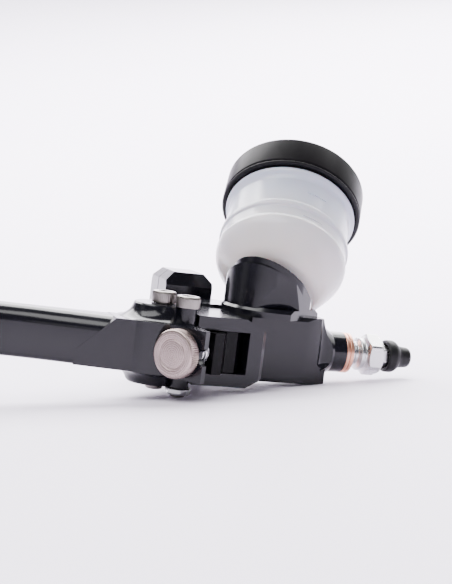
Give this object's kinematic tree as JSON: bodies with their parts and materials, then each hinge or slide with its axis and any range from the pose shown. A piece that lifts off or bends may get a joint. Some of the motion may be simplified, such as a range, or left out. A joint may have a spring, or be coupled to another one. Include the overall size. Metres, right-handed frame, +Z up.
{
  "type": "brake master cylinder",
  "caption": "Handlebar brake master cylinder with adjustable lever, tilted translucent reservoir, hose bolt and bar clamp.",
  "frame": {"origin": "centre of the handlebar clamp bore", "axes": "+X along the handlebar towards the hose outlet, +Y towards the rider, +Z up, square to the lever's plane"},
  "size_m": [0.261, 0.1052, 0.1005],
  "materials": {
    "black_anodised": "glossy black anodised, machined",
    "black_satin": "satin black anodised",
    "black_gloss": "glossy black anodised",
    "bronze": "sintered bronze",
    "steel": "bright zinc plated",
    "silver": "turned, clear anodised",
    "spring_steel": "drawn wire",
    "copper": "plain copper",
    "black_rubber": "matt",
    "tank": "milky translucent",
    "lid_black": "satin black",
    "ring_black": "satin black"
  },
  "bodies": {
    "frame": {"body": "black_anodised", "clamp_cap": "black_anodised", "clamp_bolts": "steel", "pivot_screw": "steel", "circlip": "spring_steel", "stop_washer": "steel", "copper_washers": "copper", "bleed_bolt": "steel", "reservoir": "tank", "neck_ring": "black_rubber", "tank_screw": "silver", "diaphragm": "black_rubber", "dust_boot": "black_rubber", "return_spring": "spring_steel"},
    "rocker": {"rocker": "black_gloss", "rocker_bushes": "bronze", "link_bush": "bronze"},
    "blade": {"lever": "black_satin", "link_screw": "steel", "link_nut": "steel", "adjuster_spring": "spring_steel"},
    "adjuster": {"adjuster_knob": "silver", "adjuster_screw": "steel"},
    "cross_nut": {"adjuster_nut": "steel"},
    "rod": {"pushrod": "steel"},
    "piston": {"piston": "silver", "primary_cup": "black_rubber", "secondary_cup": "black_rubber"},
    "lid": {"reservoir_lid": "lid_black", "lid_ring": "ring_black"},
    "nipple": {"bleed_nipple": "steel"},
    "nipple_cap": {"nipple_cap": "black_rubber"}
  },
  "joints": [
    {"name": "lever_pull", "type": "hinge", "parent": "frame", "child": "rocker", "pos_m": [-0.02, -0.052, 0], "axis": [0, 0, -1], "range_deg": [0, 16], "stiffness_Nm_per_rad": 0.6, "springref_deg": -17.19},
    {"name": "reach_swing", "type": "hinge", "parent": "rocker", "child": "blade", "pos_m": [-0.0134, -0.0598, 0], "axis": [0, 0, 1], "range_deg": [-2.5, 2.5], "deforming": ["adjuster_spring"]},
    {"name": "reach_turn", "type": "hinge", "parent": "blade", "child": "adjuster", "pos_m": [-0.017, -0.0715, 0], "axis": [0.788, 0.6157, 0], "range_deg": [-157, 157]},
    {"name": "nut_swing", "type": "hinge", "parent": "rocker", "child": "cross_nut", "pos_m": [-0.00502, -0.06214, 0], "axis": [0, 0, 1], "range_deg": [-2.5, 2.5]},
    {"name": "rod_push", "type": "slide", "parent": "frame", "child": "rod", "axis": [1, 0, 0], "range_m": [0, 0.0044], "deforming": ["return_spring", "dust_boot"]},
    {"name": "piston_push", "type": "slide", "parent": "frame", "child": "piston", "axis": [1, 0, 0], "range_m": [0, 0.0044]},
    {"name": "lid_turn", "type": "hinge", "parent": "frame", "child": "lid", "pos_m": [0.0266, -0.034, 0.0192], "axis": [0.3066, 0.6574, 0.6884], "continuous": true},
    {"name": "nipple_turn", "type": "hinge", "parent": "frame", "child": "nipple", "pos_m": [0.07, -0.038, 0], "axis": [1, 0, 0], "continuous": true},
    {"name": "cap_pull", "type": "slide", "parent": "nipple", "child": "nipple_cap", "axis": [1, 0, 0], "range_m": [0, 0.012]}
  ],
  "couplings": [
    {"joint": "rod_push", "follows": "lever_pull", "m_per_rad": 0.01554},
    {"joint": "piston_push", "follows": "lever_pull", "m_per_rad": 0.01554},
    {"joint": "reach_swing", "follows": "reach_turn", "ratio": 0.0159},
    {"joint": "nut_swing", "follows": "reach_turn", "ratio": 0.0159}
  ]
}
